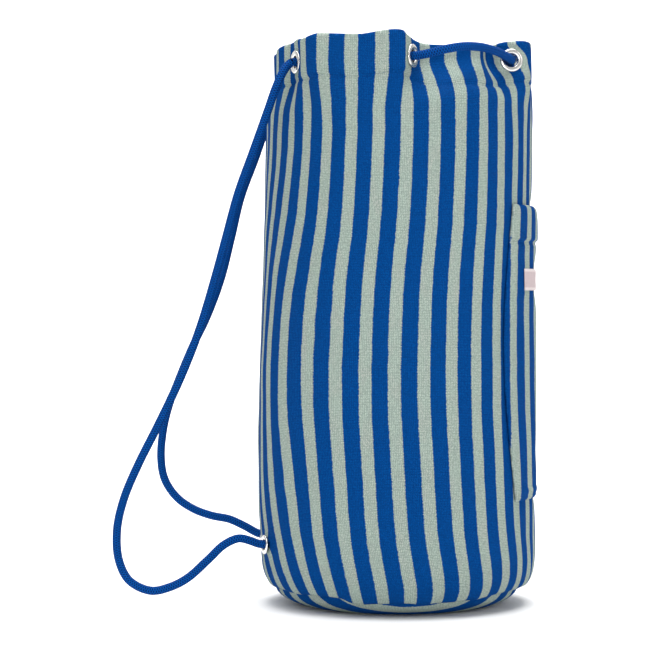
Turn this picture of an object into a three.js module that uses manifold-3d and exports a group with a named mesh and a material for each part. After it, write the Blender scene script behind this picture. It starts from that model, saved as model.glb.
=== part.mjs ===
// A striped terry drawstring bag: a barrel with a round base, a patch pocket on the front, six eyelets round
// the neck and one cord that is threaded through them and comes down the back as two shoulder straps.
//
// Millimetres. +Z is up and the origin is the middle of the base's underside. +X is the front, where the
// pocket is, and -X is the back, where the straps hang. The bag is the same on both sides of the XZ plane.
// Angles round the bag are in degrees from -Y towards +X, so the front is at 90 and the back at -90.

import * as THREE from 'three';
import { mergeVertices } from 'three/addons/utils/BufferGeometryUtils.js';
import { ParametricGeometry } from 'three/addons/geometries/ParametricGeometry.js';
import Module from 'manifold-3d';

const wasm = await Module();
wasm.setup();

// ---- Driving dimensions ----

const CLOTH = 2.2; // thickness of one layer of terry
const GAP = 0.3; // clearance between pieces that touch
const DEPTH_RATIO = 0.96; // the body's front-to-back width is a little more than its side-to-side width

const SEAM_Z = 12; // where the base is sewn to the wall
const EYELET_Z = 388; // centres of the neck eyelets, apart from the front pair
const RIM_Z = 402;
const RIM_DROP = 9; // how far the rim falls where the cord outside pulls the cloth in

// The body's outline: height, half the width along X, and where its middle is along X.
const BODY = [
  [SEAM_Z + GAP, 91.8, 0],
  [18, 95, 0],
  [24, 97.6, 0],
  [32, 100, -0.1],
  [60, 101.2, -0.3],
  [120, 101, 0],
  [180, 99.8, 0.2],
  [240, 98.4, 0.6],
  [300, 97.2, 1],
  [356, 96, 1.5],
];
const ROUND_TOP = 356; // above this height the section changes from the round body to the gathered neck
const NECK_LOW = 376; // above this height the section is the neck's

// The neck's three eyelets on the -Y side: where the cloth's face is, and the way that it faces.
const NECK_SIDE = [
  { x: -74.1, y: -43, z: EYELET_Z, facing: -69 },
  { x: 4.9, y: -82.6, z: EYELET_Z, facing: 62 },
  { x: 78.6, y: -42, z: EYELET_Z + 2, facing: 3 },
];
const EYELET_SPACING = 60; // degrees of the body's cloth between neighbouring eyelets
const PATCH = 9.5; // half the width of the flat cloth at an eyelet
const GAP_COLUMNS = 7; // columns of cloth between two eyelets
// How far the cloth carries on straight from an eyelet before it turns, for each gap from the back round.
const HANDLES = [34, 24, 24, 15, 24, 24];

const NECK_EYELET = { ring: 8.2, bore: 4.3, washer: 7 };
const BASE_EYELET = { ring: 6.8, bore: 3.7, washer: 6.2 };
const BASE_ANCHOR = { angle: 71.6, z: 45.5 }; // from -Y towards -X, and the same from +Y for the right one

const CORD_R = 3;
const CORD_SIDES = 8;
const STUB_GAP = 3.3; // from a strap's swing axis to the end of the fixed cord next to it

const POCKET = { halfAngle: 37, low: 79, high: 291, columns: 18, rows: 12 };
const LABEL = { halfAngle: 32, low: 226, high: 243, thick: 0.7 };
// The wall is pressed flat behind the pocket, which leaves room inside it: height, and the most that X reaches.
const WALL_FRONT = [[60, 102], [79, 97.4], [96, 93], [302, 93], [316, 100]];

// ---- Materials ----

const TERRY = { color: 0x0f4c9e, roughness: 0.95, metalness: 0 };
const TERRY_BASE = { color: 0x8c9c96, roughness: 0.95, metalness: 0 };
const CORD = { color: 0x0a3f96, roughness: 0.7, metalness: 0 };
const METAL = { color: 0xc8c8c6, roughness: 0.25, metalness: 1 };
const LABEL_PINK = { color: 0xe9cfd0, roughness: 0.8, metalness: 0 };

const bag = new THREE.Group();

function addPart(name, geometry, material) {
  const mesh = new THREE.Mesh(geometry, new THREE.MeshStandardMaterial(material));
  mesh.name = name;
  bag.add(mesh);
  return mesh;
}

// ---- Solids ----

function toManifold(geometry) {
  const bare = geometry.clone();
  bare.deleteAttribute('normal');
  bare.deleteAttribute('uv');
  const merged = mergeVertices(bare, 1e-3);
  return new wasm.Manifold(new wasm.Mesh({
    numProp: 3,
    vertProperties: new Float32Array(merged.attributes.position.array),
    triVerts: new Uint32Array(merged.index.array),
  }));
}

function toGeometry(manifold) {
  const mesh = manifold.getMesh();
  const geometry = new THREE.BufferGeometry();
  geometry.setAttribute('position', new THREE.BufferAttribute(mesh.vertProperties, 3));
  geometry.setIndex(new THREE.BufferAttribute(mesh.triVerts, 1));
  geometry.computeVertexNormals();
  return geometry;
}

const rad = THREE.MathUtils.degToRad;
const mix = THREE.MathUtils.lerp;

/** The horizontal direction that an angle round the bag points in. */
function heading(angle) {
  return new THREE.Vector3(Math.sin(rad(angle)), -Math.cos(rad(angle)), 0);
}

// ---- The wall's shape ----

/** The value in one column of a table at a height, on a straight line between the rows next to it. */
function tableAt(table, z, column) {
  const next = table.findIndex((row) => row[0] > z);
  if (next === -1) return table.at(-1)[column];
  if (next === 0) return table[0][column];
  const [lowRow, highRow] = [table[next - 1], table[next]];
  return mix(lowRow[column], highRow[column], (z - lowRow[0]) / (highRow[0] - lowRow[0]));
}

/** Half width and middle of the round body at a height. */
function bodyAt(z) {
  return { half: tableAt(BODY, z, 1), middle: tableAt(BODY, z, 2) };
}

/** A point of the round body, inset from its outer face. */
function bodyPoint(angle, z, inset) {
  const { half, middle } = bodyAt(z);
  const along = heading(angle);
  const x = Math.min(middle + (half - inset) * along.x, tableAt(WALL_FRONT, z, 1) - inset);
  return new THREE.Vector3(x, (half * DEPTH_RATIO - inset) * along.y, z);
}

/** The six neck eyelets from the back round by the -Y side: the three given, then their mirror images. */
const neckEyelets = [
  ...NECK_SIDE.map(({ x, y, z, facing }) => ({ face: new THREE.Vector3(x, y, z), facing })),
  ...NECK_SIDE.toReversed().map(({ x, y, z, facing }) => (
    { face: new THREE.Vector3(x, -y, z), facing: 180 - facing })),
];

/** The neck's plan as columns of cloth: a flat patch at each eyelet and a curve from patch to patch. */
function neckColumns() {
  const columns = [];
  neckEyelets.forEach((eyelet, i) => {
    const next = neckEyelets[(i + 1) % neckEyelets.length];
    const along = heading(eyelet.facing + 90);
    const nextAlong = heading(next.facing + 90);
    const start = eyelet.face.clone().addScaledVector(along, PATCH);
    const end = next.face.clone().addScaledVector(nextAlong, -PATCH);
    const handle = HANDLES[(i + 1) % HANDLES.length];
    const curve = new THREE.CubicBezierCurve3(
      start,
      start.clone().addScaledVector(along, handle),
      end.clone().addScaledVector(nextAlong, -handle),
      end,
    );
    const patchAngle = THREE.MathUtils.radToDeg(PATCH / 100);
    const eyeletAngle = (i - 1) * EYELET_SPACING;
    for (let k = 0; k <= GAP_COLUMNS; k += 1) {
      const share = k / GAP_COLUMNS;
      const cordOutside = i === 1 || i === 3;
      columns.push({
        neck: curve.getPoint(share),
        angle: mix(eyeletAngle + patchAngle, eyeletAngle + EYELET_SPACING - patchAngle, share),
        drop: cordOutside ? RIM_DROP * Math.sin(Math.PI * share) : 0,
      });
    }
  });
  return columns;
}

const columns = neckColumns();

/** The neck's plan at a column, inset by a distance square to the cloth. */
function neckPoint(index, z, inset) {
  const count = columns.length;
  const here = columns[index % count];
  const before = columns[(index + count - 1) % count].neck;
  const after = columns[(index + 1) % count].neck;
  const toHere = here.neck.clone().sub(before).normalize();
  const toNext = after.clone().sub(here.neck).normalize();
  const along = toHere.clone().add(toNext).normalize();
  const widen = 1 / Math.max(0.8, along.dot(toNext)); // keeps the thickness where the cloth turns
  const inward = new THREE.Vector3(-along.y, along.x, 0);
  return here.neck.clone().addScaledVector(inward, inset * widen).setZ(z);
}

/** A closed sheet of cloth all the way round, from rows of height and inset that go up outside and down inside. */
function tubeGeometry(rows) {
  const point = (u, v, target) => {
    const index = Math.round(u * columns.length);
    const { z, inset, neck } = rows[Math.round(v * rows.length) % rows.length];
    const column = columns[index % columns.length];
    const round = bodyPoint(column.angle, Math.min(z, ROUND_TOP), inset);
    if (z <= ROUND_TOP) {
      target.copy(round);
      return;
    }
    target.copy(neckPoint(index, z, inset));
    if (neck) target.z = z - column.drop * neck;
  };
  return new ParametricGeometry(point, columns.length, rows.length);
}

// ---- Wall and base ----

function wallSolid() {
  const heights = [SEAM_Z + GAP, 18, 24, 32, 60, 79, 96, 120, 180, 240, 302, 316, ROUND_TOP];
  const outside = [
    ...heights.map((z) => ({ z, inset: 0 })),
    { z: NECK_LOW, inset: 0 },
    { z: RIM_Z, inset: 0, neck: 1 },
  ];
  const inside = [
    { z: RIM_Z, inset: 2 * CLOTH, neck: 1 },
    { z: NECK_LOW, inset: 2 * CLOTH },
    { z: ROUND_TOP, inset: CLOTH },
    ...heights.slice(0, -1).reverse().map((z) => ({ z, inset: CLOTH })),
  ];
  let wall = toManifold(tubeGeometry([...outside, ...inside]));
  for (const hole of [...neckHoles, ...baseHoles]) wall = wall.subtract(hole);
  return toGeometry(wall);
}

function baseGeometry() {
  const outline = [
    [0, 0], [62, 0], [72, 1], [80, 3.6], [86.6, 7.4], [91.8, SEAM_Z],
    [89.4, SEAM_Z], [84.7, 8.7], [78.8, 5.5], [71.4, 3.2], [62, CLOTH], [0, CLOTH],
  ].map(([r, z]) => new THREE.Vector2(r, z));
  const base = new THREE.LatheGeometry(outline, 40);
  base.rotateX(Math.PI / 2);
  base.scale(1, DEPTH_RATIO, 1);
  return base;
}

// ---- Eyelets ----

/** An eyelet's half that shows, with its barrel turned over the washer. The cloth's face is at height 0. */
function eyeletProfile({ ring, bore }, clothThickness, lift) {
  const barrel = bore + 0.7;
  const under = -(clothThickness + lift + 1.1 + GAP);
  return [
    [bore, lift + 0.6], [bore + 0.8, lift + 1.2], [ring - 1, lift + 1.1], [ring, lift],
    [barrel, lift], [barrel, under], [barrel + 1, under], [barrel + 1, under - 0.5],
    [bore, under - 0.5], [bore, lift + 0.6],
  ].map(([r, h]) => new THREE.Vector2(r, h));
}

function washerProfile({ washer, bore }, clothThickness, lift) {
  const top = -(clothThickness + lift);
  return [
    [bore + 0.7 + GAP, top], [bore + 0.7 + GAP, top - 0.8], [washer, top - 0.8], [washer, top],
    [bore + 0.7 + GAP, top],
  ].map(([r, h]) => new THREE.Vector2(r, h));
}

/** Turns a lathed piece so that its axis points the way the cloth faces, with its origin on the cloth. */
function setOnCloth(mesh, face, direction) {
  mesh.position.copy(face);
  mesh.quaternion.setFromUnitVectors(new THREE.Vector3(0, 1, 0), direction);
  mesh.updateMatrixWorld();
}

function holeFor({ bore }, face, direction) {
  const cutter = new THREE.Mesh(new THREE.CylinderGeometry(bore + 1, bore + 1, 24, 20));
  setOnCloth(cutter, face, direction);
  cutter.geometry.applyMatrix4(cutter.matrixWorld);
  return toManifold(cutter.geometry);
}

const EYELET_SIDES = 16;

/** An outline that is drawn clockwise or counter-clockwise gives the same closed ring. */
function ringGeometry(profile) {
  const area = profile.reduce((sum, p, i) => sum + p.cross(profile[(i + 1) % profile.length]), 0);
  return new THREE.LatheGeometry(area > 0 ? profile : profile.toReversed(), EYELET_SIDES);
}

function addEyelet(names, size, cloth, lift, face, direction) {
  const eyelet = addPart(names.eyelet, ringGeometry(eyeletProfile(size, cloth, lift)), METAL);
  const washer = addPart(names.washer, ringGeometry(washerProfile(size, cloth, lift)), METAL);
  setOnCloth(eyelet, face, direction);
  setOnCloth(washer, face, direction);
}

neckEyelets.forEach(({ face, facing }, i) => {
  const names = { eyelet: `neck_eyelet_${i + 1}`, washer: `neck_washer_${i + 1}` };
  addEyelet(names, NECK_EYELET, 2 * CLOTH, GAP, face, heading(facing));
});
const neckHoles = neckEyelets.map(({ face, facing }) => holeFor(NECK_EYELET, face, heading(facing)));

/** Where a base eyelet sits. The left one, for the wearer, is on the -Y side. */
function baseAnchor(side) {
  const { half } = bodyAt(BASE_ANCHOR.z);
  const angle = side === 'left' ? -BASE_ANCHOR.angle : BASE_ANCHOR.angle - 180;
  const face = bodyPoint(angle, BASE_ANCHOR.z, 0);
  const direction = new THREE.Vector3(face.x / half ** 2, face.y / (half * DEPTH_RATIO) ** 2, 0).normalize();
  return { face, direction };
}

const CURVE_LIFT = 0.6; // a base eyelet is flat and the wall under it is curved
const sides = ['left', 'right'];
const anchors = Object.fromEntries(sides.map((side) => [side, baseAnchor(side)]));
for (const side of sides) {
  const { face, direction } = anchors[side];
  const names = { eyelet: `base_eyelet_${side}`, washer: `base_washer_${side}` };
  addEyelet(names, BASE_EYELET, CLOTH, CURVE_LIFT, face, direction);
}
const baseHoles = sides.map((side) => holeFor(BASE_EYELET, anchors[side].face, anchors[side].direction));

addPart('outer_wall', wallSolid(), TERRY);
addPart('base_panel', baseGeometry(), TERRY_BASE);

// ---- Pocket and label ----

// The pocket's flat front: height, and the X of its outer face.
const POCKET_FRONT = [[79, 100.2], [140, 100.4], [243, 100.2], [262, 101.4], [291, 102.4]];

/** A point of the pocket, by its angle from the middle of the front, its height and its depth in the cloth. */
function pocketPoint(angle, z, depth) {
  const { half, middle } = bodyAt(z);
  const proud = GAP + CLOTH - depth;
  const along = heading(90 + angle);
  const x = Math.min(middle + (half + proud) * along.x, tableAt(POCKET_FRONT, z, 1) - depth);
  return new THREE.Vector3(x, (half * DEPTH_RATIO + proud) * along.y, z);
}

/** A flat slab bent onto the pocket's face. */
function bentSlab({ halfAngle, low, high, columns: across, rows: up }, outerDepth, thick) {
  const slab = new THREE.BoxGeometry(thick, 2 * halfAngle, high - low, 1, across, up);
  const position = slab.attributes.position;
  for (let i = 0; i < position.count; i += 1) {
    const depth = outerDepth + thick / 2 - position.getX(i);
    const z = (low + high) / 2 + position.getZ(i);
    const point = pocketPoint(position.getY(i), z, depth);
    position.setXYZ(i, point.x, point.y, point.z);
  }
  return slab;
}

addPart('front_pocket', bentSlab(POCKET, 0, CLOTH), TERRY);
const labelSlab = { ...LABEL, columns: 14, rows: 2 };
addPart('blank_label', bentSlab(labelSlab, -(GAP + LABEL.thick), LABEL.thick), LABEL_PINK);

// ---- The drawcord ----

function vectors(points) {
  return points.map(([x, y, z]) => new THREE.Vector3(x, y, z));
}

function mirrored(points) {
  return points.map((p) => new THREE.Vector3(p.x, -p.y, p.z));
}

/** A cord along a smooth curve through the points, as a closed tube. */
function cordTube(points, step) {
  const path = new THREE.CatmullRomCurve3(points, false, 'centripetal');
  const section = new THREE.Shape();
  for (let i = 0; i < CORD_SIDES; i += 1) {
    const turn = (2 * Math.PI * i) / CORD_SIDES;
    const corner = [CORD_R * Math.cos(turn), CORD_R * Math.sin(turn)];
    if (i === 0) section.moveTo(...corner);
    else section.lineTo(...corner);
  }
  const steps = Math.round(path.getLength() / step);
  return new THREE.ExtrudeGeometry(section, { steps, extrudePath: path, bevelEnabled: false, curveSegments: 1 });
}

// The neck stretch on the -Y side, from outside the first eyelet to the middle of the front: in at the first
// eyelet, inside to the second, outside to the third, and inside across the front.
const NECK_ROUTE = vectors([
  [-77.5, -44.2, 387.6], [-74.1, -43, 388], [-69.4, -41.4, 388], [-60, -41.2, 388], [-46, -47.5, 388],
  [-30, -57.5, 388], [-14, -69.5, 388], [-5, -76.8, 388], [1.4, -80.7, 388], [8.6, -84.6, 388.2],
  [17, -88.8, 389.4], [27, -90.6, 391.8], [40, -87, 394.2], [52.6, -78, 394.9], [64.7, -64, 393.9],
  [72.5, -53.5, 392], [77.5, -45.8, 390.4], [78.6, -42, 390], [78.6, -36, 389.9], [78, -27, 389.6],
  [77.2, -13, 389.3], [77, 0, 389.2],
]);
const neckRoute = [...NECK_ROUTE, ...mirrored(NECK_ROUTE.slice(0, -1)).reverse()];
addPart('drawcord_neck', cordTube(neckRoute, 7), CORD);

// Each strap from where it bends out of its neck eyelet, down and back up to its base eyelet.
const LEFT_STRAP = vectors([
  [-80.6, -45.6, 384.8], [-84.2, -48, 379], [-89.1, -50, 367.6], [-94, -50, 353.5], [-103.9, -50, 325.8],
  [-115.2, -50, 294.4], [-123.1, -50, 265.5], [-131.4, -50, 235], [-142, -49.5, 200], [-155.1, -48, 166.4],
  [-171.1, -46, 132.5], [-185.5, -44.5, 104], [-195.6, -43, 80], [-200.6, -41.5, 58], [-199.4, -40.5, 36],
  [-192, -40, 21.4], [-177, -39, 14.1], [-163, -38, 16.7], [-150.7, -37, 23], [-135.9, -36, 36.2],
  [-125.5, -35, 45.8], [-115, -34.4, 50.4], [-107, -33.6, 48.8], [-101.7, -32.5, 46.7],
]);
const RIGHT_STRAP = vectors([
  [-80.6, 45.6, 384.8], [-84.4, 48, 378.5], [-88.6, 50, 367.6], [-93.6, 50, 353.5], [-102.6, 50, 327],
  [-113.5, 50, 297.5], [-120.8, 50, 267], [-128.6, 50, 236], [-139.6, 49.5, 206.5], [-150, 49, 185],
  [-160, 48, 161], [-167.5, 46.5, 141], [-172, 45.5, 121.5], [-173.4, 44.5, 101], [-170.6, 43.5, 86],
  [-162, 42, 73], [-149.8, 40, 64.4], [-136, 37.5, 59.4], [-122, 36, 56.6], [-110, 34.6, 51.2],
  [-101.7, 32.5, 46.9],
]);
const straps = { left: LEFT_STRAP, right: RIGHT_STRAP };

/** A strap's tube ends in a ball on its swing axis, so that it turns there without touching the fixed cord. */
function strapSolid(route) {
  let strap = toManifold(cordTube(route, 13));
  for (const end of [route[0], route.at(-1)]) {
    const ball = new THREE.SphereGeometry(CORD_R, CORD_SIDES, 6);
    ball.translate(end.x, end.y, end.z);
    strap = strap.add(toManifold(ball));
  }
  return toGeometry(strap);
}

const KNOT_R = 7.5;
const KNOT_INSET = 15; // from the wall's outer face to the middle of the knot

/** The cord's end: a stub through the base eyelet and the knot that holds it inside. */
function knotSolid(side) {
  const { face, direction } = anchors[side];
  const pivot = straps[side].at(-1);
  const towardFace = face.clone().sub(pivot);
  const outer = pivot.clone().addScaledVector(towardFace.clone().normalize(), STUB_GAP);
  const middle = face.clone().addScaledVector(direction, -KNOT_INSET);
  const through = face.clone().addScaledVector(direction, -CLOTH);
  const knot = new THREE.SphereGeometry(KNOT_R, 12, 8);
  knot.scale(1, 1, 0.85);
  knot.translate(middle.x, middle.y, middle.z);
  return toGeometry(toManifold(cordTube([outer, face, through, middle], 4)).add(toManifold(knot)));
}

for (const side of sides) {
  addPart(`strap_cord_${side}`, strapSolid(straps[side]), CORD);
  addPart(`cord_knot_${side}`, knotSolid(side), CORD);
}

export default bag;
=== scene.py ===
"""The looks of a striped terry drawstring bag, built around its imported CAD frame.

The frame is in metres: +Z up, the origin under the middle of the base, +X the front with the pocket and -X
the back with the straps. Shapes are worked out here in millimetres and turned into metres as each mesh is
made. Angles round the bag are in degrees from -Y towards +X. The cloth angle says where a column of the
wall's cloth is on the round body. In the gathered neck the same column is somewhere else.
"""

import math

import bpy
import numpy as np
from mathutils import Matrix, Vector


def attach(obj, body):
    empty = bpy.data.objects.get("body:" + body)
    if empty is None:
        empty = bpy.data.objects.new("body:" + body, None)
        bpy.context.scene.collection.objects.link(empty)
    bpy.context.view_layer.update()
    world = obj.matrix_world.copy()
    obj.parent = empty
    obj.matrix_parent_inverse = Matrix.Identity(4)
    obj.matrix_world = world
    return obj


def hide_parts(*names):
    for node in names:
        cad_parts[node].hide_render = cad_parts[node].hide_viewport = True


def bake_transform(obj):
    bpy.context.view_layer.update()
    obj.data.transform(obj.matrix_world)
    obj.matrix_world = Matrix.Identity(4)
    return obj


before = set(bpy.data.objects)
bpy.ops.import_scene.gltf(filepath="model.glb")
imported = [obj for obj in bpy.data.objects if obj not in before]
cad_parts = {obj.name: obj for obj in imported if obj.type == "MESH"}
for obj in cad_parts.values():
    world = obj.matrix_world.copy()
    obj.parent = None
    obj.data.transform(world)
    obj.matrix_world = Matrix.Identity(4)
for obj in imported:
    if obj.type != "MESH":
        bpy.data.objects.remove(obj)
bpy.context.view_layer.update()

MM = 0.001

# ---- Driving dimensions, in millimetres and degrees, as in the CAD model ----

CLOTH = 2.2
GAP = 0.3
DEPTH_RATIO = 0.96
HEM = 27.0  # height of the turned-in hem at the mouth
NECK_START = 342.0  # the body is round below this height

STRIPE = 20.0  # one blue and one grey stripe
BLUE_SHARE = 0.55
FIRST_BLUE = -9.3  # cloth angle of a blue stripe's left edge
DEGREE = 31 * STRIPE / 360  # cloth in one degree at the bag's sides
REPEATS = 34  # stripes round the bag, three more than 31, as there is more cloth at its front and back
FULLNESS = REPEATS / 31 - 1

CORD_R = 3.0

# Height, half width along X and middle of the round body.
BODY = [
    (4, 84, 0.6), (8, 89.5, 0.8), (12.3, 94, 1), (18, 97.3, 1.2), (24, 99.3, 1), (32, 100.7, 0.6),
    (60, 101.2, -0.3), (120, 101, 0), (180, 99.8, 0.2), (240, 98.4, 0.6), (300, 97.2, 1), (356, 96, 1.5),
    (410, 95.5, 1.5),
]
# Cloth angle and height of the seam between the wall and the base. It is puckered, so it isn't level.
SEAM = [
    (-90, 13), (-52, 12.5), (-34, 13.6), (-28, 12.9), (-25, 9.2), (-12, 9.5), (0, 10.6), (12, 9.6),
    (25, 10.6), (33, 11.2), (45, 13), (60, 14), (75, 14.5), (90, 13),
]
# Height and the most that X reaches: the wall is pressed flat behind the pocket.
WALL_FRONT = [(12, 106), (62, 106), (82, 97), (98, 93.2), (270, 93.2), (284, 95), (292, 97), (302, 106)]
POCKET_FRONT = [
    (79, 99), (140, 99.2), (214, 99.4), (224, 98), (235, 97.2), (246, 98.2), (254, 100.2), (262, 101.4),
    (274, 102.6), (280, 102.2), (285, 101), (288, 99.7),
]

# The neck's eyelets on the -Y side: place, the way it faces, and the cloth angle of its column.
NECK_SIDE = [
    {"face": (-74.1, -43.0, 388.0), "facing": -69.0, "cloth": -55.8},
    {"face": (4.9, -82.6, 388.0), "facing": 62.0, "cloth": 2.6},
    {"face": (78.6, -42.0, 390.0), "facing": 3.0, "cloth": 60.4},
]
# The neck's plan between the eyelets' flat patches, from the middle of the back to the middle of the front.
NECK_GAPS = [
    [(-82.5, 0), (-86, -8), (-88, -17.5), (-84.8, -26.5)],
    [(-69.5, -60.5), (-63, -71), (-51.5, -80.3), (-32, -87.3), (-16, -91), (-6, -93), (-1.2, -92.9)],
    [(13.5, -68.5), (21, -63.5), (31, -61.5), (42, -60.5), (50, -59.5), (55, -56.5), (57.2, -49.5),
     (59.5, -42.5), (62.8, -37), (66, -38.5)],
    [(91.5, -36), (93.8, -26), (95.2, -12), (95.4, 0)],
]
PATCH = 8.0  # half the width of the flat cloth at an eyelet

# Cloth angle and height of the rim, and of where the neck's own shape starts and is complete.
RIM = [
    (-90, 400), (-75, 401), (-66, 402.5), (-56, 404.5), (-46, 402.5), (-37, 405), (-26, 403), (-20, 402.5),
    (-13, 404.5), (-7, 405.7), (-3, 404.7), (1, 402.5), (8, 400), (16, 398.5), (34, 398.5), (44, 399.5),
    (52, 401.5), (64, 404), (74, 404), (90, 403.5),
]
NECK_FROM = [(-90, 350), (-59, 350), (-30, 345), (0, 352), (30, 360), (50, 358), (64, 352), (90, 345)]
NECK_TO = [
    (-90, 384), (-59, 380), (-30, 390), (0, 380), (12, 386), (34, 393), (54, 392), (64, 382), (90, 386),
]

NECK_EYELET = {"ring": 8.2, "bore": 4.3, "washer": 7.0, "cloth": 2 * CLOTH, "lift": GAP}
BASE_EYELET = {"ring": 6.8, "bore": 3.7, "washer": 6.2, "cloth": CLOTH, "lift": 0.6}
BASE_ANCHOR = {"angle": 71.6, "z": 45.5}

POCKET = {"half_angle": 38.5, "low": 79.0, "high": 287.0, "bow": 0.19}
LABEL = {"half_angle": 32.0, "low": 227.0, "high": 242.0, "bow": 0.0, "thick": 0.7}

# ---- The cord's routes, as in the CAD model ----

NECK_ROUTE = [
    (-77.5, -44.2, 387.6), (-74.1, -43, 388), (-69.4, -41.4, 388), (-60, -41.2, 388), (-46, -47.5, 388),
    (-30, -57.5, 388), (-14, -69.5, 388), (-5, -76.8, 388), (1.4, -80.7, 388), (8.6, -84.6, 388.2),
    (17, -88.8, 389.4), (27, -90.6, 391.8), (40, -87, 394.2), (52.6, -78, 394.9), (64.7, -64, 393.9),
    (72.5, -53.5, 392), (77.5, -45.8, 390.4), (78.6, -42, 390), (78.6, -36, 389.9), (78, -27, 389.6),
    (77.2, -13, 389.3), (77, 0, 389.2),
]
LEFT_STRAP = [
    (-80.6, -45.6, 384.8), (-84.2, -48, 379), (-89.1, -50, 367.6), (-94, -50, 353.5), (-103.9, -50, 325.8),
    (-115.2, -50, 294.4), (-123.1, -50, 265.5), (-131.4, -50, 235), (-142, -49.5, 200), (-155.1, -48, 166.4),
    (-171.1, -46, 132.5), (-185.5, -44.5, 104), (-195.6, -43, 80), (-200.6, -41.5, 58), (-199.4, -40.5, 36),
    (-192, -40, 21.4), (-177, -39, 14.1), (-163, -38, 16.7), (-150.7, -37, 23), (-135.9, -36, 36.2),
    (-125.5, -35, 45.8), (-115, -34.4, 50.4), (-107, -33.6, 48.8), (-101.7, -32.5, 46.7),
]
RIGHT_STRAP = [
    (-80.6, 45.6, 384.8), (-84.4, 48, 378.5), (-88.6, 50, 367.6), (-93.6, 50, 353.5), (-102.6, 50, 327),
    (-113.5, 50, 297.5), (-120.8, 50, 267), (-128.6, 50, 236), (-139.6, 49.5, 206.5), (-150, 49, 185),
    (-160, 48, 161), (-167.5, 46.5, 141), (-172, 45.5, 121.5), (-173.4, 44.5, 101), (-170.6, 43.5, 86),
    (-162, 42, 73), (-149.8, 40, 64.4), (-136, 37.5, 59.4), (-122, 36, 56.6), (-110, 34.6, 51.2),
    (-101.7, 32.5, 46.9),
]

STRAPS = {"left": LEFT_STRAP, "right": RIGHT_STRAP}

# ---- Small tools ----


def heading(angle):
    """The horizontal direction that an angle round the bag points in."""
    return np.array([math.sin(math.radians(angle)), -math.cos(math.radians(angle)), 0.0])


def smoothstep(low, high, x):
    t = np.clip((x - low) / (high - low), 0, 1)
    return t * t * (3 - 2 * t)


def soft_min(a, b, width):
    """The lower of two values, with a rounded corner where they meet."""
    low = np.minimum(a, b)
    return low - width * np.log(np.exp(-(a - low) / width) + np.exp(-(b - low) / width))


def table(rows, x, column=1, blur=8.0):
    """A table's column at x, with the corners between its straight stretches rounded off."""
    xs = [row[0] for row in rows]
    ys = [row[column] for row in rows]
    shifts = np.linspace(-blur, blur, 9)
    return np.mean([np.interp(np.asarray(x) + shift, xs, ys) for shift in shifts], axis=0)


def mirror_angle(angle):
    """A cloth angle folded onto the -Y side, from -90 at the back to 90 at the front, and its side's sign."""
    turned = (np.asarray(angle, float) + 90) % 360
    return np.where(turned <= 180, turned, 360 - turned) - 90, np.where(turned <= 180, 1.0, -1.0)


def spline(points, step):
    """A centripetal Catmull-Rom curve through the points, as points about a step apart."""
    points = np.array(points, float)
    points = np.vstack([2 * points[0] - points[1], points, 2 * points[-1] - points[-2]])
    made = []
    for p0, p1, p2, p3 in zip(points, points[1:], points[2:], points[3:]):
        t1 = math.sqrt(np.linalg.norm(p1 - p0))
        t2 = t1 + math.sqrt(np.linalg.norm(p2 - p1))
        t3 = t2 + math.sqrt(np.linalg.norm(p3 - p2))
        count = max(2, round(float(np.linalg.norm(p2 - p1)) / step))
        t = np.linspace(t1, t2, count, endpoint=False)[:, None]
        a1 = (t1 - t) / t1 * p0 + t / t1 * p1
        a2 = (t2 - t) / (t2 - t1) * p1 + (t - t1) / (t2 - t1) * p2
        a3 = (t3 - t) / (t3 - t2) * p2 + (t - t2) / (t3 - t2) * p3
        b1 = (t2 - t) / t2 * a1 + t / t2 * a2
        b2 = (t3 - t) / (t3 - t1) * a2 + (t - t1) / (t3 - t1) * a3
        made.append((t2 - t) / (t2 - t1) * b1 + (t - t1) / (t2 - t1) * b2)
    return np.vstack([*made, points[-2]])


def lengths_along(points):
    return np.concatenate([[0], np.cumsum(np.linalg.norm(np.diff(points, axis=0), axis=1))])


def resample(points, step):
    """Points evenly apart along a curve."""
    along = lengths_along(points)
    even = np.linspace(0, along[-1], max(2, round(along[-1] / step)) + 1)
    return np.stack([np.interp(even, along, points[:, k]) for k in range(points.shape[1])], axis=1)


def noise(x, y, cell_x, cell_y, seed, wrap=None):
    """Smooth random heights from -1 to 1. With wrap, the pattern repeats after that distance along x."""
    count = round(wrap / cell_x) if wrap else 64
    cell_x = wrap / count if wrap else cell_x
    grid = np.random.default_rng(seed).uniform(-1, 1, (count, 128))
    gx, gy = np.asarray(x) / cell_x, np.asarray(y) / cell_y + 8
    ix, iy = np.floor(gx).astype(int), np.floor(gy).astype(int)
    fx, fy = smoothstep(0, 1, gx - ix), smoothstep(0, 1, gy - iy)

    def corner(a, b):
        return grid[(ix + a) % count, (iy + b) % 128]

    low = corner(0, 0) * (1 - fx) + corner(1, 0) * fx
    high = corner(0, 1) * (1 - fx) + corner(1, 1) * fx
    return low * (1 - fy) + high * fy


def grid_faces(columns, rows, closed_columns, closed_rows):
    """Quads between the points of a grid, where point (i, j) has the number i * rows + j."""
    faces = []
    for i in range(columns if closed_columns else columns - 1):
        for j in range(rows if closed_rows else rows - 1):
            i2, j2 = (i + 1) % columns, (j + 1) % rows
            faces.append((i * rows + j, i2 * rows + j, i2 * rows + j2, i * rows + j2))
    return faces


def mesh_object(name, points, faces, material, uv=None):
    """A mesh from points in millimetres. uv gives each face's corners their place on the cloth."""
    mesh = bpy.data.meshes.new(name)
    mesh.from_pydata((np.asarray(points, float) * MM).tolist(), [], faces)
    if uv is not None:
        layer = mesh.uv_layers.new(name="cloth")
        layer.data.foreach_set("uv", np.asarray(uv, np.float32).ravel())
    mesh.materials.append(material)
    mesh.polygons.foreach_set("use_smooth", [True] * len(mesh.polygons))
    mesh.validate()
    mesh.update()
    made = bpy.data.objects.new(name, mesh)
    bpy.context.scene.collection.objects.link(made)
    return made


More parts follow.
